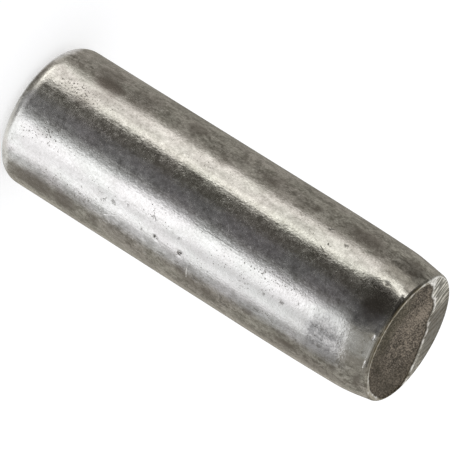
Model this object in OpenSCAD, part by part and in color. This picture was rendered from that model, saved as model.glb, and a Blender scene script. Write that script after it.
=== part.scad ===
// Parallel dowel pin, hardened and ground: one turned piece.
// It stands on its rounded heel, and +Z runs along the axis to the tapered lead end.
// Millimetres. The origin is the middle of the heel's flat.

/* [Body] */
// Ground diameter of the body
pin_d = 8; // [6:0.5:16]
// Length over both ends, along the axis
pin_l = 24; // [12:0.5:80]

/* [Heel] */
// Radius that rounds the edge of the heel
heel_r = 1.05; // [0.2:0.05:2]

/* [Lead end] */
// How far the body is drawn in where the lead taper starts
ease_drop = 0.08; // [0.02:0.01:0.12]
// Radius of the long curve that draws it in
ease_r = 200; // [50:10:300]
// Length of the lead taper
lead_l = 1.9; // [1:0.1:4]
// Slope of the lead taper to the axis
lead_angle = 8.5; // [4:0.5:10]
// Radius of the edge between the taper and the end face
edge_r = 0.25; // [0.15:0.05:0.4]
// How far the end face is ground out of square, lower on the -Y side
face_tilt = 1.8; // [0:0.1:2]

/* [Cut-off hollow] */
// Width of the ground rim where the hollow comes nearest to the edge
rim_w = 0.1; // [0.05:0.05:0.5]
// Width of the ground land beside the hollow, at its widest
land_w = 1.65; // [0.5:0.05:2]
// Radius of the hollow's edge along the land
land_r = 5.4; // [4:0.2:20]
// Direction from the land across the axis, from +X towards +Y
land_dir = 43; // [0:1:359]
// Height of the step at the hollow's edge
step_h = 0.05; // [0.02:0.01:0.1]
// Depth of the hollow at its middle
hollow_h = 0.14; // [0.12:0.01:0.2]

/* [Hidden] */

// Facets of the rounds, and of the two large ones: the easing and the hollow's floor
$fn = 96;
large_fn = 360;

// Blanks and cutters run this far past the shapes that they meet
past = 1;

body_r = pin_d / 2;
top_z = pin_l + past;

// The lead taper starts at a crease, where it cuts the easing
crease_z = pin_l - lead_l;
crease_r = body_r - ease_drop;
ease_z = crease_z - sqrt((2 * ease_r - ease_drop) * ease_drop);
function taper_r(z) = crease_r - (z - crease_z) * tan(lead_angle);

// The edge's arc leaves the taper at one slope and is cut off by the face at another
edge_start = 18;
edge_stop = 60;
edge_drop = edge_r * sin(edge_stop);
edge_x = taper_r(pin_l - edge_drop) - edge_r * cos(edge_start - lead_angle) / cos(lead_angle);
face_r = edge_x + edge_r * cos(edge_stop);

// A leaning face cuts the taper in an oval, whose middle lies this far off the axis
oval_y = (taper_r(pin_l) * tan(lead_angle) + edge_drop) * sin(face_tilt);

// The hollow lies inside two rounds: one about the axis, and one that leaves the land
hollow_r = face_r - rim_w;
land_x = land_r + land_w - face_r;

// Its floor is part of a ball, deepest a little way off the axis
dish_h = hollow_h - step_h;
dish_r = (hollow_r * hollow_r + dish_h * dish_h) / (2 * dish_h);
dish_x = 0.5;

// Half section of the ground blank: rounded heel, straight body and easing
module barrel_section() {
    intersection() {
        square([body_r, heel_r]);
        union() {
            square([body_r - heel_r, heel_r]);
            translate([body_r - heel_r, heel_r]) circle(r = heel_r);
        }
    }
    translate([0, heel_r]) square([body_r, ease_z - heel_r]);
    intersection() {
        translate([0, ease_z]) square([body_r, top_z - ease_z]);
        translate([body_r - ease_r, ease_z]) circle(r = ease_r, $fn = large_fn);
    }
}

// Half section of the cone that cuts the lead taper on the blank
module taper_section() {
    polygon([[0, -past], [taper_r(-past), -past], [taper_r(top_z), top_z], [0, top_z]]);
}

// Half section of what the end grinding leaves, down from the face at height 0
module end_section() {
    below = top_z + past;
    intersection() {
        translate([0, -below]) square([pin_d, below]);
        union() {
            translate([0, -below]) square([pin_d, below - edge_drop + edge_r * sin(lead_angle)]);
            translate([0, -edge_drop]) square([edge_x, 2 * edge_drop]);
            translate([edge_x, -edge_drop]) circle(r = edge_r);
        }
    }
}

// Puts its children on the end face, which leans about the X axis
module on_face() {
    translate([0, 0, pin_l]) rotate([face_tilt, 0, 0]) children();
}

// What the hollow takes out: a shallow dish between two rounds, with a step at its edge
module hollow() {
    intersection() {
        translate([0, 0, -past]) cylinder(r = hollow_r, h = 2 * past);
        rotate(land_dir) translate([land_x, 0, -past]) cylinder(r = land_r, h = 2 * past);
        rotate(land_dir) translate([dish_x, 0, dish_r - hollow_h])
            sphere(r = dish_r, $fn = large_fn);
    }
}

module dowel_pin() {
    color([0.66, 0.65, 0.62]) difference() {
        intersection() {
            rotate_extrude() intersection() {
                barrel_section();
                taper_section();
            }
            on_face() translate([0, -oval_y, 0]) rotate_extrude() end_section();
        }
        on_face() hollow();
    }
}

dowel_pin();
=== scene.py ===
import math
from collections import namedtuple

import bmesh
import bpy
import numpy as np
from mathutils import Matrix, Vector
from mathutils import noise as lumps


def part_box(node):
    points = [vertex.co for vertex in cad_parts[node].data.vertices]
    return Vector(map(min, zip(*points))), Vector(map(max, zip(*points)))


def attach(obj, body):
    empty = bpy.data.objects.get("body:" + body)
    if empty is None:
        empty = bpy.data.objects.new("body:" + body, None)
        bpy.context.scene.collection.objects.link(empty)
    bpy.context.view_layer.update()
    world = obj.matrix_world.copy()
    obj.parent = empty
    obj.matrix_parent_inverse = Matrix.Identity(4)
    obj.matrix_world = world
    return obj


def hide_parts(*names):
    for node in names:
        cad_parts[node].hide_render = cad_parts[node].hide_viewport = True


MM = 0.001

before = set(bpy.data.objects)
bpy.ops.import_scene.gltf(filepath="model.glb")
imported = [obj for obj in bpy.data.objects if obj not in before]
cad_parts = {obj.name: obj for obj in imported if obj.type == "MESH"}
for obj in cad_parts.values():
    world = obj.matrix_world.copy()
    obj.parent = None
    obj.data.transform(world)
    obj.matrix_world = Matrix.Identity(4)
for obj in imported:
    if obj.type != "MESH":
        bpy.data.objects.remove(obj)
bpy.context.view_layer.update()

# A ground dowel pin, gone grey in store. One mesh stands for the whole pin. It repeats the solid's form and
# adds the wear that the solid doesn't have.

# ---------------------------------------------------------------- sizes of the pin, in millimetres
PIN_LO, PIN_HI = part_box("dowel_pin")
BODY_R = min(PIN_HI[0], PIN_HI[1], -PIN_LO[0], -PIN_LO[1]) / MM
TOP_Z = PIN_HI[2] / MM
HEEL_R = 1.05
# A long curve starts here, and has drawn the body in by this much where the lead's taper starts
EASE_Z = 16.44
EASE_DROP = 0.08
# The taper starts at a crease, which is a little rounded
CREASE_Z = 22.1
CREASE_ROUND = 0.022
LEAD_SLOPE = math.radians(8.5)
# The edge between the taper and the end face: its radius, and where its arc starts and stops
EDGE_R = 0.25
EDGE_START = math.radians(10)
EDGE_STOP = math.radians(60)
# The end face leans, lower on the -Y side
FACE_Z = 24.0
FACE_TILT = math.radians(1.8)
# A leaning face cuts the taper in an oval, whose middle lies this far towards -Y
OVAL_Y = 0.0237

# The hollow in the end face: a round about the pin's axis, cut off by a larger one on the land's side
RIM_W = 0.1
LAND_W = 1.65
LAND_R = 5.4
LAND_DIR = math.radians(43)
STEP_H = 0.05
STEP_W = 0.1
HOLLOW_H = 0.14

# How finely the mesh is cut. Rings of the face within RIM_BAND of its edge lie closer together.
SIDE_SEGMENTS = 264
SIDE_RINGS = 216
HEEL_RINGS = 15
EDGE_RINGS = 9
RIM_BAND = 0.36
RIM_RINGS = 16
FACE_RINGS = 60
# Below this share of the face's radius a ring has half as many points, below half of it a quarter, and so on
FACE_THIN = 0.95
# Rings of the heel's flat, by their share of its radius, with a quarter, half and all of the side's points
HEEL_FLAT = [
    (SIDE_SEGMENTS // 4, (0.08, 0.16, 0.24, 0.32)),
    (SIDE_SEGMENTS // 2, (0.4, 0.48, 0.56, 0.64)),
    (SIDE_SEGMENTS, (0.72, 0.8, 0.87, 0.94)),
]

# ---------------------------------------------------------------- wear, in millimetres and degrees
# Azimuth 0 is +X, which faces the camera, and it grows towards +Y.

# Browned patches on the side: azimuth and height of the middle, half width in degrees, half height, strength
TARNISH = [
    (-46, 3.85, 7, 0.9, 1.0),
    (-38, 4.35, 3, 0.35, 0.6),
    (-57, 3.3, 9, 0.8, 0.6),
    (-47, 1.6, 3, 0.5, 0.35),
    (-52, 5.5, 11, 0.9, 0.5),
    (60, 2.7, 10, 1.4, 0.8),
    (60, 4.7, 9, 0.8, 0.8),
    (59, 6.7, 6, 0.35, 0.6),
    (-57, 9.0, 7, 0.6, 0.6),
    (-42, 11.5, 4, 0.5, 0.4),
    (-50, 14.1, 4, 0.6, 0.6),
    (-58, 14.4, 5, 0.3, 0.5),
    (-51, 17.0, 4, 0.25, 0.6),
    (-53, 20.2, 9, 1.2, 0.75),
    (-51, 21.0, 6, 0.3, 0.3),
    (-38, 20.0, 4, 1.9, 0.2),
    (-33, 4.2, 5, 0.5, 0.25),
    (-55, 23.0, 10, 0.6, 0.55),
    (60, 13.0, 5, 0.6, 0.5),
    (60, 14.1, 4, 0.5, 0.6),
    (53, 12.4, 3, 0.35, 0.6),
    (52, 16.8, 3, 0.25, 0.6),
    (62, 19.2, 4, 0.9, 0.8),
    (54, 18.9, 2, 0.4, 0.5),
    (58, 22.1, 4, 0.3, 0.7),
    (70, 21.2, 9, 1.4, 0.5),
    (57, 23.4, 7, 0.2, 0.7),
    (-12, 22.9, 14, 0.7, 0.8),
    (-21, 3.5, 6, 0.5, 0.5),
    (-30, 3.5, 5, 0.4, 0.25),
    (15, 2.5, 4, 0.5, 0.3),
    (-33, 22.5, 3, 0.5, 0.2),
    (49, 4.4, 5, 1.7, 0.25),
    (46, 2.4, 4, 0.5, 0.2),
    (41, 19.4, 5, 0.5, 0.2),
    (15, 19.5, 3, 0.5, 0.2),
    (73, 17.8, 7, 1.9, 0.3),
]
# Places where pits crowd together, in the same terms. Below 0, they are few there.
PITTED = [
    (-27, 2.9, 6, 1.7, 0.65),
    (-50, 5.6, 10, 1.0, 0.7),
    (8, 3.1, 4, 0.7, 0.85),
    (14, 2.8, 3, 0.6, 0.85),
    (20, 2.0, 4, 0.4, 0.6),
    (27, 6.2, 4, 0.8, 0.6),
    (34, 7.2, 4, 0.6, 0.5),
    (45, 5.8, 4, 0.5, 0.7),
    (-57, 9.0, 7, 0.6, 0.7),
    (-42, 11.5, 4, 0.5, 0.6),
    (-49, 14.1, 5, 0.6, 0.6),
    (-15, 9.5, 5, 2.0, 0.5),
    (26, 10.6, 4, 1.0, 0.5),
    (14, 17.8, 4, 2.0, 0.8),
    (52, 12.4, 4, 0.4, 0.8),
    (-48, 19.7, 5, 0.6, 0.7),
    (29, 20.9, 3, 0.5, 0.7),
    (40, 20.8, 6, 0.7, 0.5),
    (44, 18.0, 4, 1.0, 0.5),
    (58, 22.2, 6, 0.5, 0.7),
    (60, 9.7, 6, 0.5, 0.5),
    (-7, 22.9, 17, 1.2, -1.6),
    (-2, 19.6, 9, 1.6, -0.8),
]
# The dull patch beside the lead, on the side towards +Y: from and to, and how wide its soft sides are.
# Towards +Y it starts a little lower.
ETCH_AZIMUTH = (4, 66)
ETCH_SOFT = 24
ETCH_Z = (19.85, 22.45)
ETCH_LOWER = 0.25
# Dents and pits: azimuth, height, radius and depth. Dirt lies in them. The wall of each runs from where it
# begins to where the dent is at its depth, in radii from its middle.
DENT_WALL = (1.3, 0.3)
DENTS = [
    (38.3, 10.55, 0.08, 0.05),
    (39.3, 10.68, 0.05, 0.05),
    (38.8, 12.22, 0.08, 0.05),
    (40.4, 12.20, 0.05, 0.05),
    (38.8, 9.75, 0.07, 0.012),
    (24.0, 10.14, 0.08, 0.012),
    (25.8, 10.31, 0.07, 0.012),
    (27.5, 8.52, 0.08, 0.012),
    (28.6, 11.90, 0.09, 0.012),
    (31.2, 7.72, 0.13, 0.015),
    (34.0, 7.15, 0.09, 0.012),
    (27.8, 18.50, 0.11, 0.02),
    (29.2, 17.42, 0.08, 0.012),
    (22.0, 19.35, 0.07, 0.012),
    (45.8, 17.30, 0.10, 0.015),
    (43.6, 21.18, 0.09, 0.015),
    (29.5, 23.45, 0.10, 0.012),
    (28.8, 21.05, 0.09, 0.012),
    (-35.6, 19.68, 0.09, 0.02),
    (-34.2, 19.80, 0.07, 0.015),
    (-40.2, 18.50, 0.09, 0.015),
    (-42.0, 20.80, 0.08, 0.012),
    (-28.0, 19.06, 0.06, 0.012),
    (-27.6, 22.66, 0.12, 0.02),
    (-56.5, 12.92, 0.10, 0.015),
    (4.0, 13.62, 0.07, 0.012),
    (8.2, 13.72, 0.06, 0.012),
    (53.5, 13.30, 0.10, 0.012),
    (55.0, 15.00, 0.10, 0.012),
    (61.0, 15.18, 0.11, 0.012),
]
# Nicks along the edge, in the same terms, with nothing in them
NICKS = [
    (13.6, 23.62, 0.10, 0.03),
    (36.0, 23.68, 0.09, 0.025),
    (40.0, 23.66, 0.07, 0.02),
]
# Fine marks, worn patches, painted glints and painted shade: azimuth, height, half length, half width, turn
# from the pin's axis, strength. Below 0 they are dark, with dirt or with painted shade. Above 0 they are
# lighter, up to the colour of bare metal at 1.
MARKS = [
    (12.0, 13.9, 1.7, 0.02, 0, -0.45),
    (12.9, 18.2, 1.2, 0.02, 1, -0.3),
    (-7.5, 20.45, 0.14, 0.03, 20, -0.6),
    (43.8, 7.70, 0.45, 0.035, -30, 1.0),
    (51.5, 12.78, 0.38, 0.04, 88, 0.9),
    (34.0, 20.20, 1.20, 0.16, 90, 0.15),
    (22.0, 22.32, 0.60, 0.12, 85, 0.25),
    (40.0, 22.58, 0.70, 0.14, 78, 0.2),
    # Painted glints, where nicks in the edge catch the light
    (13.6, 23.62, 0.17, 0.07, 90, 1.0),
    (36.0, 23.70, 0.22, 0.04, 90, 0.8),
    # A lighter patch on the taper
    (-75.0, 22.20, 0.40, 0.25, 60, 0.4),
    # Along the start of the edge: a painted light band, a painted light line and painted glints
    (-69.0, 23.86, 0.60, 0.10, 90, 0.5),
    (34.0, 23.73, 1.30, 0.03, 90, 0.3),
    (14.0, 23.62, 0.10, 0.05, 90, 1.0),
    (38.0, 23.70, 0.30, 0.03, 90, 1.0),
    # Painted shade: dark lines along the start of the edge
    (-17.0, 23.81, 0.75, 0.15, 80, -1.0),
    (-40.0, 23.90, 0.75, 0.05, 90, -0.75),
    (8.0, 23.88, 0.30, 0.04, 90, -0.8),
    (-2.0, 23.84, 0.50, 0.07, 90, -0.4),
    (22.0, 23.88, 0.70, 0.03, 90, -0.5),
    (35.0, 23.87, 0.45, 0.045, 90, -0.75),
    # A painted glint on the lip at the bottom of the rim
    (97.0, 24.06, 0.05, 0.07, 0, 1.0),
    # Lighter worn patches, then dark marks of dirt
    (-82.0, 4.30, 1.30, 0.50, 0, 0.6),
    (-78.0, 23.50, 0.35, 0.60, 0, 0.35),
    (-66.0, 1.90, 0.80, 0.60, 0, 0.3),
    (-71.0, 21.70, 0.70, 0.60, 0, 0.25),
    (45.0, 10.20, 1.40, 0.25, 0, 0.2),
    (63.0, 7.80, 0.90, 0.50, 0, 0.3),
    (73.0, 9.00, 1.40, 0.50, 0, 0.2),
    (81.0, 13.50, 1.60, 0.35, 0, 0.3),
    (-41.0, 18.45, 0.17, 0.035, -36, -0.9),
    (-44.0, 18.65, 0.10, 0.025, -36, -0.6),
    (-28.5, 18.92, 0.05, 0.05, 0, -0.9),
    (-23.0, 18.80, 0.18, 0.030, 26, -0.8),
    (-23.0, 16.52, 0.15, 0.025, -36, -0.6),
]
# The side is a little wavy. Waves: half their depth, their width, how many times as long they are, and the
# shift of their noise.
WAVES = [(0.002, 0.9, 1 / 0.35, 3), (0.0008, 0.35, 2, 5)]
# Below this height the heel isn't dented or wavy
HEEL_KEPT = 0.4

# The hand-ground edge isn't even: by azimuth, how far it lies above its plane, and how far it is drawn in
EDGE_LIFT = [
    (-100, 0), (-80, 0.01), (-60, 0.05), (-40, 0.03), (-25, 0.01), (-10, -0.02), (0, -0.03), (30, -0.05),
    (45, -0.03), (62, 0.02), (75, 0.03), (90, 0.02), (115, 0),
]
EDGE_DRAWN = [(-80, 0), (-62, 0.1), (-40, 0.04), (-25, 0), (180, 0)]
# Both set in between these radii, and drawing in sets in between these heights as well
EDGE_SETS_IN = (2.0, 3.2)
DRAWN_SETS_IN = (CREASE_Z + 1.1, CREASE_Z + 1.7)
# The lean of the face sets in between these heights, and so does the wear of its edge
LEAN_SETS_IN = (CREASE_Z, FACE_Z - 0.3)
# Nor is the taper quite true: by azimuth, how far it lies outside its cone
TAPER_OUT = [
    (-90, 0), (-40, -0.008), (-22, -0.035), (-8, -0.03), (8, 0.02), (15, 0.035), (32, 0.05), (60, 0.045),
    (90, 0.03), (150, 0),
]
# The heights where that has ended and where it starts to end
TAPER_OUT_ENDS = (FACE_Z - 0.2, FACE_Z - 1.1)

# Places round the end, by azimuth: the middle, how far off they end, and how wide their soft ends are.
# Where the rim round the hollow is wider, and by how much
RIM_WIDER = [(0, 45, 30, 0.04), (80, 30, 20, 0.08), (-32, 27, 18, 0.08)]
# Between these azimuths it narrows by this much
RIM_NARROWS = (95, 120)
RIM_NARROWER = 0.06
# Bays in the hollow's outline: how far it reaches past its round, and below 0 how far it falls short
RIM_BAYS = [(-62, 15.4, 11, -0.15)]
LAND_BAYS = [(-108, 25.2, 18, 0.24), (-76, 14, 10, 0.15)]
# How the outline is torn: how far, size of the teeth, and shift of their noise
RIM_TORN = [(0.04, 0.45, 13), (0.03, 0.18, 15)]
LAND_TORN = [(0.11, 0.5, 17), (0.07, 0.2, 19)]
# Lumps of the hollow's floor, in the terms of the waves
FLOOR_LUMPS = [(0.012, 0.15, 1, 21), (0.01, 0.4, 1, 23)]
# The lip along the outline: how far outside it the lip lies, and how far it reaches to each side. Along the
# land it is torn-up metal, its reach is uneven by the third number, and it comes and goes. Along the rim it
# is a painted highlight.
LAND_LIP = (0.065, 0.13, 0.08)
RIM_HIGHLIGHT_BAND = (0.015, 0.065)
# Where the painted highlight along the rim lies, and how bright it is
RIM_HIGHLIGHT_AT = [(62, 42, 28, 1.0), (-38, 36, 24, 0.85), (93, 3.75, 2.5, 1.2)]
# The part of the end face that is nearest to the camera, and the far end of the land
FACE_FRONT = (-5, 56, 40)
LAND_FAR = (-155, 78, 60)
# Where the land is stained brown, and where its scoring is crisp on bright metal
LAND_STAINED = (-150, 45, 30)
LAND_CRISP = (-100, 44.8, 28)
# A stretch of the edge that is less dulled
EDGE_CLEAN = (52, 24, 16)
# Scoring of the land: width and depth of the grooves, how many times as long they are, the point that they
# run from, and how far off that is.
SCORE_W = 0.145
SCORE_H = 0.02
SCORE_STRETCH = 10
SCORE_FROM = (1.6, 4.5)
SCORE_RUN = 7.5
# How far inside the hollow's outline the land begins, and below 0 how far outside it the land is whole
LAND_BEGINS = (0.024, -0.096)
# The palest part of the hollow's floor: its middle, and how far off it ends and starts to fade
PALE_AT = (-0.3, -1.4)
PALE_ENDS = (2.4, 0.4)

# ---------------------------------------------------------------- camera
# Fitted to the photograph: its frame and the lens in pixels, angles, and lengths in millimetres
PHOTO_SIDE = 450
FOCAL_PX = 4921.0
AXIS_TO_VIEW = math.radians(68)
ROLL = math.radians(32.22)
CAMERA_DISTANCE = 252.9
AIM_Z = 12.156
AIM_OFF_RIGHT = 0.0185
AIM_OFF_DOWN = 0.0916
SENSOR = 36.0
# What the camera sees lies between these distances, in metres
NEAREST = 0.01
FURTHEST = 20


def add_camera():
    """A long lens at the photograph's angle: the pin's axis runs down to the right across the frame."""
    towards = Vector((math.sin(AXIS_TO_VIEW), 0, math.cos(AXIS_TO_VIEW)))
    along = Vector((-math.cos(AXIS_TO_VIEW), 0, math.sin(AXIS_TO_VIEW)))
    across = Vector((0, 1, 0))
    right = along * math.cos(ROLL) - across * math.sin(ROLL)
    down = along * math.sin(ROLL) + across * math.cos(ROLL)
    aim = Vector((0, 0, AIM_Z)) + right * AIM_OFF_RIGHT + down * AIM_OFF_DOWN
    place = (aim + towards * CAMERA_DISTANCE) * MM
    optics = bpy.data.cameras.new("camera")
    optics.sensor_width = SENSOR
    optics.lens = FOCAL_PX / PHOTO_SIDE * SENSOR
    optics.clip_start = NEAREST
    optics.clip_end = FURTHEST
    camera = bpy.data.objects.new("camera", optics)
    turn = Matrix((right, -down, towards)).transposed().to_4x4()
    camera.matrix_world = Matrix.Translation(place) @ turn
    bpy.context.scene.collection.objects.link(camera)
    bpy.context.scene.camera = camera


add_camera()


# ---------------------------------------------------------------- the pin's shape
# A ring of points round the axis: how many points it has, and whether it lies on the end face
Ring = namedtuple("Ring", "radius height points on_face")


def between(value, low, high):
    """0 at low and 1 at high, with a smooth rise between them. Low may be the larger one."""
    share = np.clip((value - low) / (high - low), 0, 1)
    return share * share * (3 - 2 * share)


def near(azimuth, middle, reach, fade):
    """1 close to an azimuth and 0 from `reach` degrees off, with a soft end `fade` degrees wide."""
    away = abs((azimuth - middle + 180) % 360 - 180)
    return between(away, reach, reach - fade)


def grain(points, size, shift=0.0):
    """Smooth noise from -1 to 1, with bumps about `size` millimetres across."""
    return np.array([lumps.noise(Vector(p) / size + Vector((shift, 0, 0))) for p in points])


def body_radius(z, out=0.0):
    """Radius of the barrel at a height: straight, then eased, then the lead's cone, with a rounded crease.

    The cone is moved `out` from its true place.
    """
    ease_l = CREASE_Z - EASE_Z
    ease_r = (ease_l ** 2 + EASE_DROP ** 2) / (2 * EASE_DROP)
    eased = BODY_R - ease_r + np.sqrt(ease_r ** 2 - np.maximum(z - EASE_Z, 0) ** 2)
    taper = BODY_R - EASE_DROP - (z - CREASE_Z) * math.tan(LEAD_SLOPE) + out
    return np.minimum(eased, taper) - CREASE_ROUND * np.log1p(np.exp(-abs(eased - taper) / CREASE_ROUND))


def heel_rings():
    """Rings from the middle of the heel's flat to the top of its round."""
    flat_r = BODY_R - HEEL_R
    rings = []
    for points, shares in HEEL_FLAT:
        for share in shares:
            rings.append(Ring(flat_r * share, 0.0, points, False))
    for angle in np.linspace(0, math.pi / 2, HEEL_RINGS):
        radius = flat_r + HEEL_R * math.sin(angle)
        rings.append(Ring(radius, HEEL_R - HEEL_R * math.cos(angle), SIDE_SEGMENTS, False))
    return rings


def side_rings():
    """Rings up the barrel and over the edge of the end face, and the height at which the lead ends."""
    centre_z = FACE_Z - EDGE_R * math.sin(EDGE_STOP)
    cone_r = BODY_R - EASE_DROP - (centre_z - CREASE_Z) * math.tan(LEAD_SLOPE)
    centre_r = cone_r - EDGE_R / math.cos(LEAD_SLOPE)
    lead_top = centre_z + EDGE_R * math.sin(EDGE_START)
    rings = []
    for z in np.linspace(HEEL_R, lead_top, SIDE_RINGS)[1:]:
        rings.append(Ring(float(body_radius(z)), z, SIDE_SEGMENTS, False))
    for angle in np.linspace(EDGE_START, EDGE_STOP, EDGE_RINGS)[1:]:
        radius = centre_r + EDGE_R * math.cos(angle)
        rings.append(Ring(radius, centre_z + EDGE_R * math.sin(angle), SIDE_SEGMENTS * 2, False))
    return rings, lead_top


def face_rings(face_r):
    """Rings of the end face, from its edge to its middle, with fewer points as they get smaller."""
    by_rim = np.linspace(1, 1 - RIM_BAND / face_r, RIM_RINGS + 1)[1:]
    inner = np.linspace(by_rim[-1], 0, FACE_RINGS + 1)[1:-1]
    rings = []
    for share in np.concatenate([by_rim, inner]):
        points = SIDE_SEGMENTS * 2
        while points % 2 == 0 and points * FACE_THIN > SIDE_SEGMENTS * 2 * share:
            points //= 2
        rings.append(Ring(face_r * share, FACE_Z, points, True))
    return rings


def stitch(first, count, other, others):
    """Faces between a ring of points and the next one, which has as many, twice as many or half as many."""
    faces = []
    if count == others:
        for j in range(count):
            k = (j + 1) % count
            faces.append((first + j, first + k, other + k, other + j))
    elif others == count * 2:
        for j in range(count):
            a = other + 2 * j
            b = other + 2 * j + 1
            c = other + (2 * j + 2) % others
            k = first + (j + 1) % count
            faces.append((first + j, b, a))
            faces.append((first + j, k, b))
            faces.append((k, c, b))
    else:
        for face in stitch(other, others, first, count):
            faces.append(tuple(reversed(face)))
    return faces


def ring_mesh(rings):
    """Points of the rings and of the middles of both ends, which points are on the face, and the faces."""
    points = []
    on_face = []
    starts = []
    for ring in rings:
        starts.append(len(points))
        for j in range(ring.points):
            angle = 2 * math.pi * j / ring.points
            points.append((ring.radius * math.cos(angle), ring.radius * math.sin(angle), ring.height))
            on_face.append(ring.on_face)
    heel_middle = len(points)
    face_middle = heel_middle + 1
    points += [(0, 0, 0), (0, 0, FACE_Z)]
    on_face += [False, True]

    faces = []
    first = rings[0].points
    for j in range(first):
        faces.append((heel_middle, (j + 1) % first, j))
    for i in range(len(rings) - 1):
        faces += stitch(starts[i], rings[i].points, starts[i + 1], rings[i + 1].points)
    last = rings[-1].points
    for j in range(last):
        faces.append((starts[-1] + j, starts[-1] + (j + 1) % last, face_middle))
    return np.array(points), np.array(on_face), faces


class Surface:
    """The pin's points: where they lie on the plain turned pin, and where grinding and wear move them."""

    def __init__(self, points, on_face, face_r, lead_top):
        self.plain = points
        self.x, self.y, self.z = points.T
        self.face_r = face_r
        self.lead_top = lead_top
        self.azimuth = np.degrees(np.arctan2(self.y, self.x))
        self.height = self.z.copy()
        self.on_face = on_face
        self.past_lead = self.height > lead_top
        self.on_edge = self.past_lead & ~on_face
        self.fray = self.grain(0.5)
        self.blotch = self.grain(1.3, 7)

    def grain(self, size, shift=0.0):
        """Noise that lies on the plain pin, and so stays in place as the points move."""
        return grain(self.plain, size, shift)

    def torn(self, terms):
        """Sum of noises about zero."""
        return sum(far * self.grain(size, shift) for far, size, shift in terms)

    def bumps(self, terms):
        """Sum of noises from zero up, which may be drawn out along the pin."""
        total = 0.0
        for half, size, stretch, shift in terms:
            total = total + half * (1 + grain(self.plain / (1, 1, stretch), size, shift))
        return total

    def push_in(self, depth):
        """Moves the points straight in from the side."""
        self.x = self.x - depth * np.cos(np.radians(self.azimuth))
        self.y = self.y - depth * np.sin(np.radians(self.azimuth))

    def lean_end(self):
        """Grinds the end out of square: the taper keeps its cone, and the edge and the face lean."""
        end = between(self.z, *LEAN_SETS_IN)
        self.z = self.z + end * math.tan(FACE_TILT) * self.y
        on_taper = (self.height > EASE_Z) & ~self.past_lead
        taper_out = np.interp(self.azimuth, *zip(*TAPER_OUT))
        taper_out = taper_out * between(self.height, *TAPER_OUT_ENDS)
        shrink = np.where(on_taper, body_radius(self.z, taper_out) / body_radius(self.height), 1)
        self.x = self.x * shrink
        self.y = self.y * shrink - np.where(self.past_lead, OVAL_Y, 0)

    def wear_edge(self):
        """Makes the edge of the end face uneven, without leaving the pin's length."""
        by_edge = between(self.height, *LEAN_SETS_IN) * between(np.hypot(self.x, self.y), *EDGE_SETS_IN)
        self.z = self.z + by_edge * np.interp(self.azimuth, *zip(*EDGE_LIFT))
        drawn = by_edge * np.interp(self.azimuth, *zip(*EDGE_DRAWN))
        self.push_in(drawn * between(self.height, *DRAWN_SETS_IN))
        self.z = np.minimum(self.z, TOP_Z)

    def sink_hollow(self):
        """Sinks the hollow in the end face, with a torn outline and a lumpy floor.

        Sets to_rim and to_land, which say how far inside each of its two rounds a point lies.
        """
        self.around = np.degrees(np.arctan2(self.y, self.x))
        self.out = np.hypot(self.x, self.y)
        rim = RIM_W - RIM_NARROWER * between(self.around, *RIM_NARROWS)
        for middle, reach, fade, wider in RIM_WIDER:
            rim = rim + wider * near(self.around, middle, reach, fade)
        self.to_rim = self.face_r - rim - self.out + self.torn(RIM_TORN)
        for middle, reach, fade, past in RIM_BAYS:
            self.to_rim = self.to_rim + past * near(self.around, middle, reach, fade)

        centre = LAND_R + LAND_W - self.face_r
        aside = self.x - math.cos(LAND_DIR) * centre
        ahead = self.y - math.sin(LAND_DIR) * centre
        self.to_land = LAND_R - np.hypot(aside, ahead) + self.torn(LAND_TORN)
        for middle, reach, fade, past in LAND_BAYS:
            self.to_land = self.to_land + past * near(self.around, middle, reach, fade)

        self.inside = np.where(self.on_face, np.minimum(self.to_rim, self.to_land), -1)
        step = between(self.inside, -STEP_W / 2, STEP_W / 2)
        dish = np.clip(self.inside / self.face_r, 0, 1)
        depth = STEP_H + (HOLLOW_H - STEP_H) * (1 - (1 - dish) ** 2)
        self.z = self.z - step * (depth + self.bumps(FLOOR_LUMPS))

    def score_land(self):
        """Scores the land across, in grooves that run out from one point."""
        run = np.hypot(self.x - SCORE_FROM[0], self.y - SCORE_FROM[1])
        arc = np.arctan2(self.y - SCORE_FROM[1], self.x - SCORE_FROM[0]) * SCORE_RUN
        along = np.stack([arc, run / SCORE_STRETCH, 0 * run], axis=-1)
        self.groove = grain(along, SCORE_W, 25) + 0.35 * self.grain(0.2, 27)
        self.land = np.where(self.on_face, between(self.to_land, *LAND_BEGINS), 0)
        self.z = self.z - self.land * SCORE_H * between(self.groove, -0.5, 0.5)

    def dent_side(self):
        """Presses the dents and nicks straight in from the side, and makes the whole side a little wavy."""
        depth = self.bumps(WAVES)
        for middle, up, radius, deep in DENTS + NICKS:
            away = np.hypot(np.radians(self.azimuth - middle) * BODY_R, self.height - up) / radius
            depth = depth + deep * between(away + 0.25 * self.fray, *DENT_WALL)
        self.push_in(np.where(self.on_face | (self.height < HEEL_KEPT), 0, depth))

    def patch(self, middle, up, half, tall, soft, frayed):
        """1 inside an oval on the side and 0 outside it, with a soft and frayed edge."""
        away = np.hypot((self.azimuth - middle) / half, (self.height - up) / tall) + frayed
        return between(away, 1 + soft / 2, 1 - soft / 2)


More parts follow.
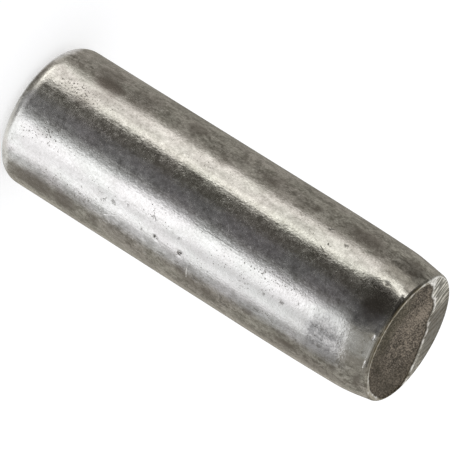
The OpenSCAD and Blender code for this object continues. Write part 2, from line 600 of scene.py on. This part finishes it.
# ---------------------------------------------------------------- what the material reads at each point
def side_layers(pin):
    """How strongly each point of the side is browned, pitted, etched, filmed over and calm."""
    azimuth = pin.azimuth
    height = pin.height
    tarnish = np.zeros(len(height))
    for middle, up, half, tall, strength in TARNISH:
        spot = pin.patch(middle, up, half, tall, 1.1, 0.25 * pin.fray + 0.3 * pin.blotch)
        tarnish = np.maximum(tarnish, strength * spot)
    pitted = np.zeros(len(height))
    for middle, up, half, tall, strength in PITTED:
        pitted = pitted + strength * pin.patch(middle, up, half, tall, 1.2, 0.3 * pin.blotch)

    # The etched patch fades into wider, lighter wear below it
    begins = ETCH_Z[0] - ETCH_LOWER * between(azimuth, 22, 32)
    etch = between(height + 0.15 * pin.fray, begins, begins + 0.85)
    etch = etch * between(height, ETCH_Z[1], ETCH_Z[1] - 0.3)
    etch = etch * between(azimuth, ETCH_AZIMUTH[0], ETCH_AZIMUTH[0] + ETCH_SOFT)
    etch = etch * between(azimuth, ETCH_AZIMUTH[1], ETCH_AZIMUTH[1] - ETCH_SOFT)
    etch = etch * (1 - 0.2 * between(height, 21.6, 21.9)) * (1 + 0.2 * near(azimuth, 36, 10, 5))
    worn = 0.36 * between(height, 8, 17) * between(azimuth, 14, 30) * between(azimuth, 59, 51)
    etch = np.maximum(etch, worn * between(height, 22.3, 21.8))

    # The grey film is thickest beside the lead, and thin on the front and far behind
    film = between(abs(azimuth + 1), 38, 50)
    film = film * (1 - 0.35 * between(azimuth, 0, 5) * between(azimuth, 62, 52))
    film = np.maximum(film, 0.35 * between(azimuth, 14, 4))
    film = film * (1 + 0.75 * between(height, 19, 20.5) * between(abs(azimuth), 42, 48))
    film = film * (1 - 0.5 * between(abs(azimuth), 92, 117))

    # Calm places are smoother: before the lead, along one line of the side, and low on the side towards +Y
    calm = between(height, 19.6, 21.0) * near(azimuth, -1, 22, 10)
    calm = np.maximum(calm, 0.7 * near(azimuth, -31, 13, 6))
    calm = np.maximum(calm, 1.4 * between(height, 5.5, 3.5) * near(azimuth, 30, 16, 6))
    return {"tarnish": tarnish, "pitted": pitted, "etch": etch, "film": film, "calm": calm}


def hollow_layers(pin, front):
    """The hollow, the painted shade along its step and rim, where that shade is olive, and its pale middle.
    """
    # Painted shade: over the floor towards the rim, deeper towards the front, and under the step on the
    # land's side
    shade = (0.48 + 0.1 * front) * between(pin.to_rim, 1.9, 1.1)
    shade = shade * between(pin.around, -55, -30) * between(pin.around, 185, 155)
    painted_hollow_shade = np.maximum(between(pin.to_land, 0.22, 0), shade)
    from_pale = np.hypot(pin.x - PALE_AT[0], pin.y - PALE_AT[1])
    return {
        "hollow": between(pin.inside, -0.02, 0.04 + 0.16 * front),
        "painted_hollow_shade": np.where(pin.inside > 0, painted_hollow_shade, 0),
        "olive": front,
        "pale": between(from_pale, *PALE_ENDS),
    }


def torn_lip_and_highlight(pin):
    """A bright lip along the hollow's outline: torn-up metal along the land, a painted highlight along the
    rim.
    """
    outside, reach, uneven = LAND_LIP
    by_land = between(abs(pin.to_land + outside), reach + uneven * pin.grain(0.3, 31), 0)
    by_land = by_land * between(pin.grain(0.35, 29), -0.3125, 0.3125) * between(pin.to_rim, -0.2, 0)
    bright = 0.0
    for middle, ends, fade, strength in RIM_HIGHLIGHT_AT:
        bright = bright + strength * near(pin.around, middle, ends, fade)
    outside, reach = RIM_HIGHLIGHT_BAND
    return np.maximum(by_land, between(abs(pin.to_rim + outside), reach, 0) * bright)


def land_layers(pin):
    """Where land and edge are dull, stained, scored, crisply cut, torn to bright metal or given a painted
    highlight.
    """
    around = pin.around
    land = pin.land
    # Torn-up metal along the land, and a painted highlight along the rim
    lip_and_highlight = torn_lip_and_highlight(pin)
    far = near(around, *LAND_FAR)
    margin = between(pin.out, pin.face_r - 0.25, pin.face_r) + between(pin.to_land, -0.25, 0)
    rim = (1 - land) * between(pin.out, pin.face_r - 0.6, pin.face_r - 0.4)
    stain = (land * near(around, *LAND_STAINED) + rim * (0.4 + 0.5 * pin.grain(0.3, 35))) * (1 - lip_and_highlight)
    scored = land * (0.44 + 0.5 * pin.groove + 0.5 * far - 0.1 * margin) * (1 - lip_and_highlight)
    ragged = 0.8 * pin.grain(0.3, 33) + 0.2 * between(around, 45, 60)
    dull = (land * (0.5 + 0.5 * far) + rim * (0.9 + ragged)) * (1 - 0.8 * lip_and_highlight)

    # On the edge, the dull grinding of the face runs on over the upper part of the round
    share = (pin.height - pin.lead_top) / (FACE_Z - pin.lead_top)
    upper = between(share, 0.48, 0.78) * between(around, -60, -40)
    edge_dull = np.maximum(0.35 * between(around, -5, 20), (0.9 + ragged) * upper)
    edge_dull = edge_dull * (1 - 0.6 * near(around, *EDGE_CLEAN))
    return {
        "stain": np.where(pin.on_edge, 0.3 * upper, stain),
        "crisp": land * near(around, *LAND_CRISP),
        "lip_and_highlight": lip_and_highlight,
        "dull": np.where(pin.on_edge, edge_dull, np.where(pin.on_face, dull, 0)),
        "scored": scored,
    }


def make_pin():
    """The whole pin as one mesh, with the layers that its material reads."""
    rings, lead_top = side_rings()
    face_r = rings[-1].radius
    points, on_face, faces = ring_mesh(heel_rings() + rings + face_rings(face_r))
    surface = Surface(points, on_face, face_r, lead_top)
    surface.lean_end()
    surface.wear_edge()
    surface.sink_hollow()
    surface.score_land()
    surface.dent_side()
    front = near(surface.around, *FACE_FRONT)
    layers = {**side_layers(surface), **hollow_layers(surface, front), **land_layers(surface)}

    mesh = bpy.data.meshes.new("pin")
    places = np.stack([surface.x, surface.y, surface.z], axis=-1) * MM
    mesh.from_pydata([tuple(place) for place in places], [], faces)
    mesh.update()
    mesh.polygons.foreach_set("use_smooth", [True] * len(mesh.polygons))
    for name, values in layers.items():
        layer = mesh.attributes.new(name, "FLOAT", "POINT")
        layer.data.foreach_set("value", values.astype(np.float32))
    pin = bpy.data.objects.new("pin", mesh)
    bpy.context.scene.collection.objects.link(pin)
    return pin


pin = make_pin()
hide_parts("dowel_pin")
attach(pin, "root")


# ---------------------------------------------------------------- nodes
class Nodes:
    """Short calls that add nodes and link them."""

    def __init__(self, tree):
        self.tree = tree

    def add(self, kind, **settings):
        node = self.tree.nodes.new(kind)
        for key, value in settings.items():
            setattr(node, key, value)
        return node

    def put(self, value, socket):
        """Links a socket's value to another socket, or sets a plain number or colour on it."""
        if isinstance(value, bpy.types.NodeSocket):
            self.tree.links.new(value, socket)
        else:
            socket.default_value = value

    def math(self, how, a, b=0.0, c=0.0, clamp=False):
        node = self.add("ShaderNodeMath", operation=how, use_clamp=clamp)
        for value, socket in zip((a, b, c), node.inputs):
            self.put(value, socket)
        return node.outputs[0]

    def times(self, a, b):
        return self.math("MULTIPLY", a, b)

    def split(self, vector):
        """The X, Y and Z of a vector."""
        node = self.add("ShaderNodeSeparateXYZ")
        self.put(vector, node.inputs[0])
        return node.outputs

    def join(self, x, y):
        """A vector of X and Y."""
        node = self.add("ShaderNodeCombineXYZ")
        self.put(x, node.inputs["X"])
        self.put(y, node.inputs["Y"])
        return node.outputs[0]

    def between(self, value, low, high):
        """0 at low and 1 at high, with a smooth rise between them. Low may be the larger one."""
        node = self.add("ShaderNodeMapRange", interpolation_type="SMOOTHSTEP")
        self.put(value, node.inputs["Value"])
        if low < high:
            node.inputs["From Min"].default_value = low
            node.inputs["From Max"].default_value = high
        else:
            node.inputs["From Min"].default_value = high
            node.inputs["From Max"].default_value = low
            node.inputs["To Min"].default_value = 1
            node.inputs["To Max"].default_value = 0
        return node.outputs["Result"]

    def mix(self, factor, a, b, how="MIX"):
        """Mixes two colours. A Mix node keeps its colours in inputs 6 and 7, and gives output 2."""
        node = self.add("ShaderNodeMix", data_type="RGBA", blend_type=how)
        self.put(factor, node.inputs[0])
        self.put(a, node.inputs[6])
        self.put(b, node.inputs[7])
        return node.outputs[2]

    def blend(self, factor, a, b):
        """Mixes two numbers, which a Mix node keeps in inputs 2 and 3."""
        node = self.add("ShaderNodeMix", data_type="FLOAT")
        self.put(factor, node.inputs[0])
        self.put(a, node.inputs[2])
        self.put(b, node.inputs[3])
        return node.outputs[0]

    def noise(self, vector, detail, rough):
        node = self.add("ShaderNodeTexNoise")
        self.put(vector, node.inputs["Vector"])
        node.inputs["Scale"].default_value = 1
        node.inputs["Detail"].default_value = detail
        node.inputs["Roughness"].default_value = rough
        return node.outputs["Fac"]

    def weigh(self, *terms):
        """Sum of noises about zero, each times its weight."""
        total = 0.0
        for value, weight in terms:
            total = self.math("MULTIPLY_ADD", self.math("SUBTRACT", value, 0.5), weight, total)
        return total


# ---------------------------------------------------------------- material
STEEL_DARK = (0.36, 0.35, 0.33, 1)
STEEL_LIGHT = (0.88, 0.87, 0.86, 1)
TINGE_PINK = (1.0, 0.986, 0.99, 1)
TINGE_GREEN = (0.988, 1.0, 0.985, 1)
BROWNED = (0.30, 0.275, 0.26, 1)
ETCHED = (0.248, 0.243, 0.24, 1)
IN_PITS = (0.12, 0.11, 0.10, 1)
# Dirt, and the painted shade along the edge
DIRT_AND_SHADE = (0.06, 0.055, 0.05, 1)
# Bare metal, and painted glints and highlights
BARE_AND_GLINT = (0.96, 0.95, 0.94, 1)
GROUND_DULL = (0.33, 0.297, 0.225, 1)
GROUND_CRISP = (0.60, 0.575, 0.49, 1)
GROUND_STAINED = (0.075, 0.055, 0.03, 1)
IN_SCORES = (0.06, 0.053, 0.033, 1)
SCALE_DARK = (0.043, 0.033, 0.02, 1)
SCALE_PALE = (0.435, 0.375, 0.312, 1)
# Painted shade in the hollow, along the step and towards the rim: brown, and olive towards the front
HOLLOW_SHADE_BROWN = (0.066, 0.052, 0.031, 1)
HOLLOW_SHADE_OLIVE = (0.056, 0.052, 0.021, 1)

# How full of dirt a dent is: LEAST_DIRT, and more by its depth over DIRT_DEPTH, up to 1. Along the pin, the
# dirt reaches a little further than the dent.
LEAST_DIRT = 0.25
DIRT_DEPTH = 0.08
DIRT_LONG = 1.15
# How ragged the outlines of dents and of marks are
DENT_RAGGED = 3.2
MARK_RAGGED = 1.5


class Steel(Nodes):
    """Ground steel, gone grey and finely pitted in store, with brown scale in the hollow of its end."""

    def __init__(self, tree):
        super().__init__(tree)
        self.place = self.add("ShaderNodeTexCoord").outputs["Object"]
        self.x, self.y, z = self.split(self.place)
        self.height = self.times(z, 1 / MM)
        # The side unrolled, in millimetres: X is the height and Y the arc from the +X line
        self.unrolled = self.join(self.height, self.times(self.math("ARCTAN2", self.y, self.x), BODY_R))
        self.fine = self.grains(0.12, rough=0.6)
        self.small = self.grains(0.3, rough=0.6, stretch=1.3, shift=5)
        self.wide = self.grains(0.9, detail=2, rough=0.6, stretch=1.5, shift=11)
        self.streak = self.grains(0.13, detail=2, stretch=16, shift=17)
        self.crisp = self.layer("crisp")
        self.hollow = self.layer("hollow")
        self.scored = self.layer("scored")
        self.calm = self.times(self.layer("calm"), 0.4)
        self.pits = self.find_pits()
        self.grit = self.find_grit()
        self.dirt, self.bare_and_glint = self.find_marks()

    def layer(self, name):
        return self.add("ShaderNodeAttribute", attribute_name=name).outputs["Fac"]

    def grains(self, size, detail=1, rough=0.5, stretch=1.0, across=1.0, shift=0.0):
        """Noise with grains `size` millimetres wide, `stretch` times that in Z and `across` times in X."""
        mapping = self.add("ShaderNodeMapping", vector_type="POINT")
        self.put(self.place, mapping.inputs["Vector"])
        scale = 1 / (size * MM)
        mapping.inputs["Scale"].default_value = (scale / across, scale, scale / stretch)
        mapping.inputs["Location"].default_value = (shift, 0, 0)
        return self.noise(mapping.outputs[0], detail, rough)

    def rays(self, origin, radius, size, stretch):
        """Noise in lines that run out from a point on the end face, about `size` wide at the radius."""
        aside = self.math("MULTIPLY_ADD", self.x, 1 / MM, -origin[0])
        ahead = self.math("MULTIPLY_ADD", self.y, 1 / MM, -origin[1])
        turned = self.math("ARCTAN2", ahead, aside)
        squares = self.math("ADD", self.math("POWER", aside, 2), self.math("POWER", ahead, 2))
        run = self.math("SQRT", squares)
        lines = self.join(self.times(turned, radius / size), self.times(run, 1 / (size * stretch)))
        return self.noise(lines, 1, 0.5)

    def mark(self, azimuth, height, length, width, turn, ragged):
        """1 in an oval on the side and 0 outside it, with a ragged edge."""
        mapping = self.add("ShaderNodeMapping", vector_type="TEXTURE")
        self.put(self.unrolled, mapping.inputs["Vector"])
        mapping.inputs["Location"].default_value = (height, math.radians(azimuth) * BODY_R, 0)
        mapping.inputs["Rotation"].default_value = (0, 0, math.radians(turn))
        mapping.inputs["Scale"].default_value = (length, width, 1)
        size = self.add("ShaderNodeVectorMath", operation="LENGTH")
        self.put(mapping.outputs[0], size.inputs[0])
        fringe = self.math("SUBTRACT", self.fine, 0.5)
        return self.between(self.math("MULTIPLY_ADD", fringe, ragged, size.outputs["Value"]), 1.3, 0.6)

    def find_pits(self):
        """1 in the fine pits all over the pin, which crowd together in places."""
        speck = self.grains(0.1, shift=9)
        crowd = self.grains(1.1, detail=2, stretch=1.5, shift=3)
        specks = self.weigh((speck, 1), (crowd, 0.4))
        specks = self.math("MULTIPLY_ADD", self.layer("pitted"), 0.15, specks)
        return self.between(specks, 0.2, 0.3)

    def find_grit(self):
        """From dark to pale in the gritty scale of the hollow."""
        specks = self.grains(0.08, detail=2, rough=0.6, across=2.4, shift=41)
        lumpy = self.grains(0.3, across=1.5, shift=43)
        grit = self.weigh((specks, 1.5), (lumpy, 0.25), (self.wide, 0.5))
        return self.between(self.math("MULTIPLY_ADD", self.layer("pale"), 0.12, grit), -0.25, 0.45)

    def find_marks(self):
        """Dirt in dents and dark marks, painted shade along the edge, and bare metal, painted glints and
        highlights.
        """
        dirt = 0.0
        for azimuth, height, radius, depth in DENTS:
            spot = self.mark(azimuth, height, radius * DIRT_LONG, radius, 0, DENT_RAGGED)
            full = min(1, LEAST_DIRT + depth / DIRT_DEPTH)
            dirt = self.math("MAXIMUM", dirt, self.times(spot, full))
        bare_and_glint = 0.0
        for azimuth, height, length, width, turn, strength in MARKS:
            spot = self.times(self.mark(azimuth, height, length, width, turn, MARK_RAGGED), abs(strength))
            if strength > 0:
                bare_and_glint = self.math("MAXIMUM", bare_and_glint, spot)
            else:
                dirt = self.math("MAXIMUM", dirt, spot)
        return dirt, self.math("MAXIMUM", bare_and_glint, self.times(self.layer("lip_and_highlight"), 0.6))

    def side_colour(self):
        """Grey steel, uneven where the film lies, browned and etched in patches, dark in pits and dents and
        in painted shade.
        """
        uneven = self.weigh((self.fine, 1.1), (self.small, 1.1), (self.wide, 1.1), (self.streak, 0.25))
        contrast = self.math("MULTIPLY_ADD", self.layer("film"), 1.2, 0.4)
        middle = self.blend(self.between(self.height, 7, 2.5), 0.5, 0.58)
        level = self.math("MULTIPLY_ADD", uneven, contrast, middle, clamp=True)
        tinge = self.between(self.grains(1.4, stretch=2, shift=51), 0.35, 0.65)
        tinge = self.mix(tinge, TINGE_PINK, TINGE_GREEN)
        colour = self.mix(1, self.mix(level, STEEL_DARK, STEEL_LIGHT), tinge, "MULTIPLY")
        colour = self.mix(self.layer("tarnish"), colour, BROWNED)
        mottle = self.weigh((self.small, 0.9), (self.wide, 0.4), (self.fine, 1.1))
        mottle = self.math("ADD", mottle, 0.7, clamp=True)
        colour = self.mix(self.times(self.layer("etch"), mottle), colour, ETCHED)
        colour = self.mix(self.times(self.pits, 0.5), colour, IN_PITS)
        # Dirt in dents and marks, and painted shade along the edge
        return self.mix(self.times(self.dirt, 0.88), colour, DIRT_AND_SHADE)

    def land_colour(self):
        """The land's ground metal, dull, crisp or stained brown."""
        ground = self.mix(self.crisp, GROUND_DULL, GROUND_CRISP)
        return self.mix(self.layer("stain"), ground, GROUND_STAINED)

    def scoring(self):
        """Dark lines and grains in the scored land."""
        lines = self.weigh((self.rays(SCORE_FROM, SCORE_RUN, size=0.13, stretch=9), 8.0))
        lines = self.times(lines, self.blend(self.crisp, 0.35, 1.9))
        lines = self.math("ADD", lines, self.weigh((self.fine, 1.5), (self.small, 2.0)))
        scored = self.math("ADD", self.scored, lines, clamp=True)
        return self.times(scored, self.between(self.scored, 0.02, 0.2))

    def hollow_colour(self):
        """Gritty brown scale, with painted shade on it along the step and towards the rim."""
        scale = self.mix(self.grit, SCALE_DARK, SCALE_PALE)
        shaded = self.mix(self.layer("olive"), HOLLOW_SHADE_BROWN, HOLLOW_SHADE_OLIVE)
        return self.mix(self.times(self.layer("painted_hollow_shade"), 0.85), scale, shaded)

    def colour(self):
        colour = self.mix(self.layer("dull"), self.side_colour(), self.land_colour())
        colour = self.mix(self.times(self.scoring(), 0.92), colour, IN_SCORES)
        # Bare metal, painted glints and the painted highlight along the rim
        colour = self.mix(self.bare_and_glint, colour, BARE_AND_GLINT)
        return self.mix(self.hollow, colour, self.hollow_colour())

    def roughness(self):
        uneven = self.weigh((self.grains(0.14, detail=2, rough=0.7, shift=29), 0.3), (self.small, 0.2))
        rough = self.math("ADD", uneven, 0.19, clamp=True)
        rough = self.blend(self.calm, rough, 0.22)
        rough = self.blend(self.times(self.pits, 0.8), rough, 0.5)
        rough = self.math("ADD", rough, self.times(self.between(self.height, 10, 1), 0.05))
        rough = self.blend(self.dirt, rough, 0.55)
        rough = self.blend(self.bare_and_glint, rough, 0.3)
        return self.blend(self.hollow, rough, 0.6)

    def relief(self):
        """The finest relief, in millimetres: grain, streaks, pits, scratches and the scale's grit."""
        finer = self.grains(0.1, shift=31)
        coarser = self.grains(0.25, shift=37)
        relief = self.weigh((finer, 0.005), (coarser, 0.005), (self.streak, 0.003))
        relief = self.times(relief, self.math("SUBTRACT", 1, self.calm))
        relief = self.math("SUBTRACT", relief, self.times(self.pits, 0.003))
        relief = self.math("SUBTRACT", relief, self.times(self.math("POWER", self.bare_and_glint, 2), 0.012))
        return self.math("MULTIPLY_ADD", self.times(self.grit, self.hollow), 0.02, relief)


def make_steel():
    """The pin's material: the nodes of the steel, linked to one shader."""
    material = bpy.data.materials.new("steel")
    material.use_nodes = True
    shader = material.node_tree.nodes["Principled BSDF"]
    steel = Steel(material.node_tree)
    steel.put(steel.colour(), shader.inputs["Base Color"])
    steel.put(steel.roughness(), shader.inputs["Roughness"])
    shader.inputs["Metallic"].default_value = 1
    bump = steel.add("ShaderNodeBump")
    bump.inputs["Strength"].default_value = 1
    bump.inputs["Distance"].default_value = MM
    steel.put(steel.relief(), bump.inputs["Height"])
    steel.put(bump.outputs[0], shader.inputs["Normal"])
    return material


pin.data.materials.append(make_steel())


# ---------------------------------------------------------------- floor and light
# The floor's own glow and the light that it reflects come to just over 1, so it is white but for the shadow
FLOOR_R = 1.5
FLOOR_GREY = (0.5, 0.5, 0.5, 1)
FLOOR_GLOW = 0.58


def add_floor():
    """A white floor, which the steel doesn't mirror: its reflections look past it, at the studio's cards."""
    mesh = bpy.data.meshes.new("floor")
    disc = bmesh.new()
    bmesh.ops.create_circle(disc, cap_ends=True, radius=FLOOR_R, segments=64)
    disc.to_mesh(mesh)
    disc.free()
    floor = bpy.data.objects.new("floor", mesh)
    bpy.context.scene.collection.objects.link(floor)
    floor.visible_glossy = False
    floor.visible_shadow = False
    material = bpy.data.materials.new("floor")
    material.use_nodes = True
    shader = material.node_tree.nodes["Principled BSDF"]
    shader.inputs["Base Color"].default_value = FLOOR_GREY
    shader.inputs["Roughness"].default_value = 0.9
    shader.inputs["Specular IOR Level"].default_value = 0
    shader.inputs["Emission Color"].default_value = (1, 1, 1, 1)
    shader.inputs["Emission Strength"].default_value = FLOOR_GLOW
    floor.data.materials.append(material)


add_floor()

# Tints of the cards, against a red of 1
NEUTRAL = (1, 1.005, 1.03)
BRIGHT = (1, 1.012, 1.035)
PALE = (1, 0.985, 0.95)
CREAM = (1, 0.965, 0.9)
YELLOW = (1, 0.985, 0.9)
WARM = (1, 0.94, 0.82)
VIOLET = (1, 0.98, 1.02)

# The studio that the steel mirrors. Each card: brightness, tint, its middle, half width and soft edge in
# degrees of azimuth, and its lower end, upper end and their soft edges in degrees of elevation.
CARDS = [
    # underneath, which the outer part of the heel's round mirrors
    (0.3, PALE, 180, 26, 12, -100, -66, 8, 7),
    (0.15, WARM, -105, 45, 14, -100, -66, 8, 7),
    (0.26, WARM, -35, 25, 10, -100, -66, 8, 7),
    (0.28, NEUTRAL, 0, 22, 10, -100, -66, 8, 7),
    (0.31, NEUTRAL, 45, 28, 12, -100, -66, 8, 7),
    (0.66, PALE, 128, 46, 14, -100, -66, 8, 7),
    # the belt that the inner part of the heel's round mirrors
    (0.68, PALE, -140, 32, 12, -54, -31, 6, 4),
    (0.98, NEUTRAL, 180, 22, 12, -60, -31, 8, 4),
    (0.95, PALE, 125, 34, 12, -70, -44, 6, 6),
    (0.78, PALE, 125, 34, 12, -48, -31, 5, 4),
    (0.45, WARM, -104, 10, 6, -56, -33, 5, 6),
    (0.3, WARM, -91, 8, 5, -60, -33, 6, 6),
    (1.72, YELLOW, -60, 20, 6, -54, -33, 6, 6),
    (1.0, CREAM, -31, 8, 6, -58, -37, 6, 6),
    (0.34, VIOLET, -8, 14, 6, -66, -33, 6, 6),
    (0.42, VIOLET, 12, 8, 6, -66, -33, 6, 6),
    (1.3, BRIGHT, 30, 9, 8, -59, -33, 6, 6),
    (1.52, BRIGHT, 55, 17, 8, -59, -33, 6, 6),
    (1.35, BRIGHT, 82, 13, 8, -61, -33, 6, 6),
    # the belt that the barrel mirrors
    (0.29, WARM, -138, 13, 8, -33, -14, 6, 3),
    (0.27, WARM, -104, 12, 8, -33, -14, 6, 3),
    (1.03, CREAM, -61.5, 18, 5, -33, -14, 6, 3),
    (1.42, CREAM, -73.5, 2.7, 2, -33, -14, 6, 3),
    (1.7, YELLOW, -48, 5, 3, -33, -14, 6, 3),
    (0.11, WARM, -25, 17, 6, -33, -14, 6, 3),
    (0.175, VIOLET, 0, 14, 6, -33, -14, 6, 3),
    (0.4, BRIGHT, 22, 8, 5, -33, -14, 6, 3),
    (1.18, BRIGHT, 55, 30, 8, -33, -14, 6, 3),
    (1.73, BRIGHT, 40, 12, 7, -33, -14, 6, 3),
    (1.62, BRIGHT, 74, 7.5, 6, -33, -14, 6, 3),
    (0.47, WARM, 156, 7, 5, -33, -14, 6, 3),
    (0.28, WARM, -164, 8, 5, -33, -14, 6, 3),
    (0.75, NEUTRAL, 93, 8, 9, -33, -14, 6, 3),
    # the belt that the lead mirrors
    (0.18, WARM, -104, 16, 8, -14, 5, 3, 3),
    (0.5, WARM, -77, 9, 6, -14, 5, 3, 3),
    (1.75, YELLOW, -57, 6, 3, -14, 5, 3, 3),
    (0.065, WARM, -27.5, 23.5, 3, -16.5, 5, 1, 3),
    (0.1, VIOLET, 7, 17, 6, -14, 5, 3, 3),
    (0.45, PALE, 48, 20, 8, -14, 5, 3, 3),
    (0.3, WARM, 90, 24, 8, -14, 5, 3, 3),
    # above the lead's belt: a dark ceiling in front, open white behind
    (0.16, WARM, -70, 70, 10, 3, 78, 2, 5),
    (0.015, WARM, -38, 18, 8, 3, 78, 2, 5),
    (0.34, WARM, 74, 48, 14, 7, 74, 3, 5),
    (0.95, PALE, 180, 45, 15, 10, 70, 4, 5),
    # overhead
    (0.5, WARM, 0, 200, 10, 80, 100, 5, 8),
]
# What lies round the cards: brightness and tint
GROUND = (0.34, WARM)


def light_studio():
    """Sets the cards round the pin for glossy rays, and plain white for all others."""
    world = bpy.data.worlds.new("studio")
    bpy.context.scene.world = world
    world.use_nodes = True
    # Light that is sampled would reach the steel as plain white, so only rays meet the world
    world.cycles.sampling_method = "NONE"
    world.node_tree.nodes.clear()
    n = Nodes(world.node_tree)
    x, y, z = n.split(n.add("ShaderNodeTexCoord").outputs["Generated"])
    azimuth = n.math("DEGREES", n.math("ARCTAN2", y, x))
    rise = n.math("DEGREES", n.math("ARCSINE", z))

    def light(level, tint):
        return tuple(level * c for c in tint) + (1,)

    seen = light(*GROUND)
    for level, tint, middle, half, soft, low, high, fade_low, fade_high in CARDS:
        away = n.math("ABSOLUTE", n.math("WRAP", n.math("SUBTRACT", azimuth, middle), 180, -180))
        across = n.between(away, half + soft, half - soft)
        above = n.between(rise, low - fade_low, low + fade_low)
        under = n.between(rise, high + fade_high, high - fade_high)
        seen = n.mix(n.times(across, n.times(above, under)), seen, light(level, tint))
    path = n.add("ShaderNodeLightPath")
    background = n.add("ShaderNodeBackground")
    n.put(n.mix(path.outputs["Is Glossy Ray"], light(1.0, NEUTRAL), seen), background.inputs["Color"])
    output = n.add("ShaderNodeOutputWorld")
    n.put(background.outputs[0], output.inputs["Surface"])


light_studio()

scene = bpy.context.scene
scene.view_settings.view_transform = "Standard"
